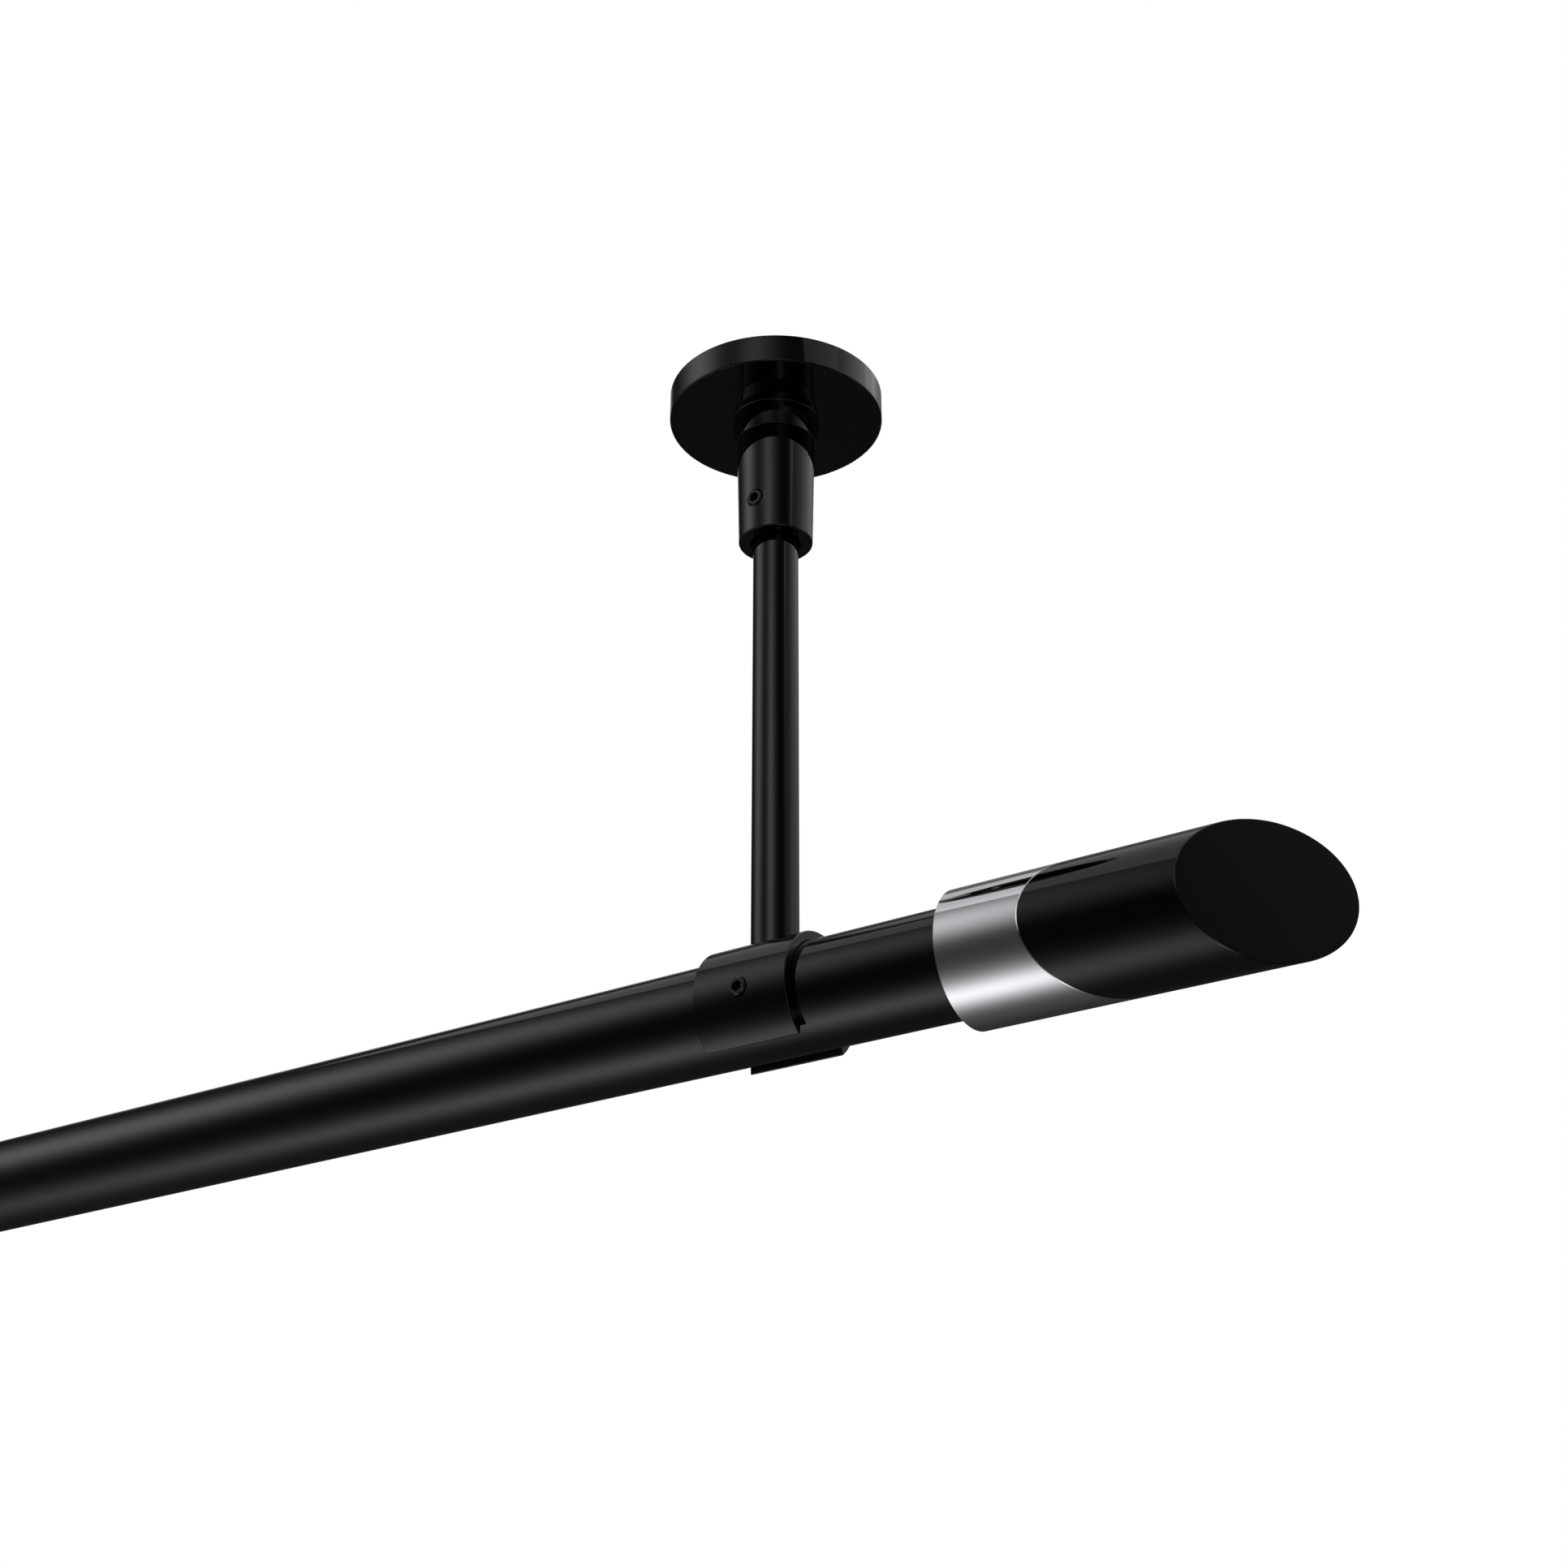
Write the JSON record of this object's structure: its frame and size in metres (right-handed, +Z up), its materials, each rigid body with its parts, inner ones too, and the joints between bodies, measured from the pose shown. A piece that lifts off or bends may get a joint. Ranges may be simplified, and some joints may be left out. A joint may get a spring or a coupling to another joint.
{
  "type": "curtain rod",
  "caption": "Ceiling-hung curtain rod on height-adjustable drop brackets, with open pass-through collars and slant-cut finials that join a bright sleeve to a black tip.",
  "frame": {"origin": "on the ceiling plane, midway between the two bracket axes", "axes": "+X along the pole to its right end, -Y towards the room, +Z up to the ceiling"},
  "size_m": [1.335, 0.0606, 0.2025],
  "materials": {
    "black_lacquer": "gloss black lacquer",
    "black_pole": "gloss black lacquer",
    "black_tip": "gloss black lacquer",
    "polished_aluminium": "polished and clear anodised",
    "zinc_steel": "zinc plated",
    "black_screw": "black oxide"
  },
  "bodies": {
    "ceiling_brackets": {"left_ceiling_disc": "zinc_steel", "left_cover_plate": "black_lacquer", "left_flange_ring": "black_lacquer", "left_nipple": "black_lacquer", "left_drop_sleeve": "black_lacquer", "right_ceiling_disc": "zinc_steel", "right_cover_plate": "black_lacquer", "right_flange_ring": "black_lacquer", "right_nipple": "black_lacquer", "right_drop_sleeve": "black_lacquer"},
    "left_hanger": {"left_drop_rod": "black_lacquer", "left_collar": "black_lacquer", "left_collar_bolt": "black_screw"},
    "right_hanger": {"right_drop_rod": "black_lacquer", "right_collar": "black_lacquer", "right_collar_bolt": "black_screw"},
    "pole_tube": {"pole": "black_pole"},
    "left_finial": {"left_finial_sleeve": "polished_aluminium", "left_finial_tip": "black_tip"},
    "left_sleeve_clamp": {"left_sleeve_screw": "black_screw"},
    "left_collar_clamp": {"left_collar_screw": "black_screw"},
    "left_finial_clamp": {"left_finial_screw": "black_screw"},
    "right_finial": {"right_finial_sleeve": "polished_aluminium", "right_finial_tip": "black_tip"},
    "right_sleeve_clamp": {"right_sleeve_screw": "black_screw"},
    "right_collar_clamp": {"right_collar_screw": "black_screw"},
    "right_finial_clamp": {"right_finial_screw": "black_screw"}
  },
  "joints": [
    {"name": "right_height", "type": "slide", "parent": "ceiling_brackets", "child": "right_hanger", "axis": [0, 0, 1], "range_m": [-0.015, 0.006]},
    {"name": "left_height", "type": "slide", "parent": "ceiling_brackets", "child": "left_hanger", "axis": [0, 0, 1], "range_m": [-0.015, 0.006]},
    {"name": "pole_shift", "type": "slide", "parent": "right_hanger", "child": "pole_tube", "axis": [1, 0, 0], "range_m": [-0.042, 0.042]},
    {"name": "left_finial_turn", "type": "hinge", "parent": "pole_tube", "child": "left_finial", "pos_m": [-0.6, 0, -0.185], "axis": [-1, 0, 0], "continuous": true},
    {"name": "left_sleeve_screw_travel", "type": "slide", "parent": "ceiling_brackets", "child": "left_sleeve_clamp", "axis": [0, -1, 0], "range_m": [0, 0.0024]},
    {"name": "left_collar_screw_travel", "type": "slide", "parent": "left_hanger", "child": "left_collar_clamp", "axis": [0, -1, 0], "range_m": [0, 0.0016]},
    {"name": "left_finial_screw_travel", "type": "slide", "parent": "left_finial", "child": "left_finial_clamp", "axis": [0, 1, 0], "range_m": [0, 0.0021]},
    {"name": "right_finial_turn", "type": "hinge", "parent": "pole_tube", "child": "right_finial", "pos_m": [0.6, 0, -0.185], "axis": [1, 0, 0], "continuous": true},
    {"name": "right_sleeve_screw_travel", "type": "slide", "parent": "ceiling_brackets", "child": "right_sleeve_clamp", "axis": [0, -1, 0], "range_m": [0, 0.0024]},
    {"name": "right_collar_screw_travel", "type": "slide", "parent": "right_hanger", "child": "right_collar_clamp", "axis": [0, -1, 0], "range_m": [0, 0.0016]},
    {"name": "right_finial_screw_travel", "type": "slide", "parent": "right_finial", "child": "right_finial_clamp", "axis": [0, 1, 0], "range_m": [0, 0.0021]}
  ],
  "couplings": [
    {"joint": "left_height", "follows": "right_height", "ratio": 1}
  ]
}
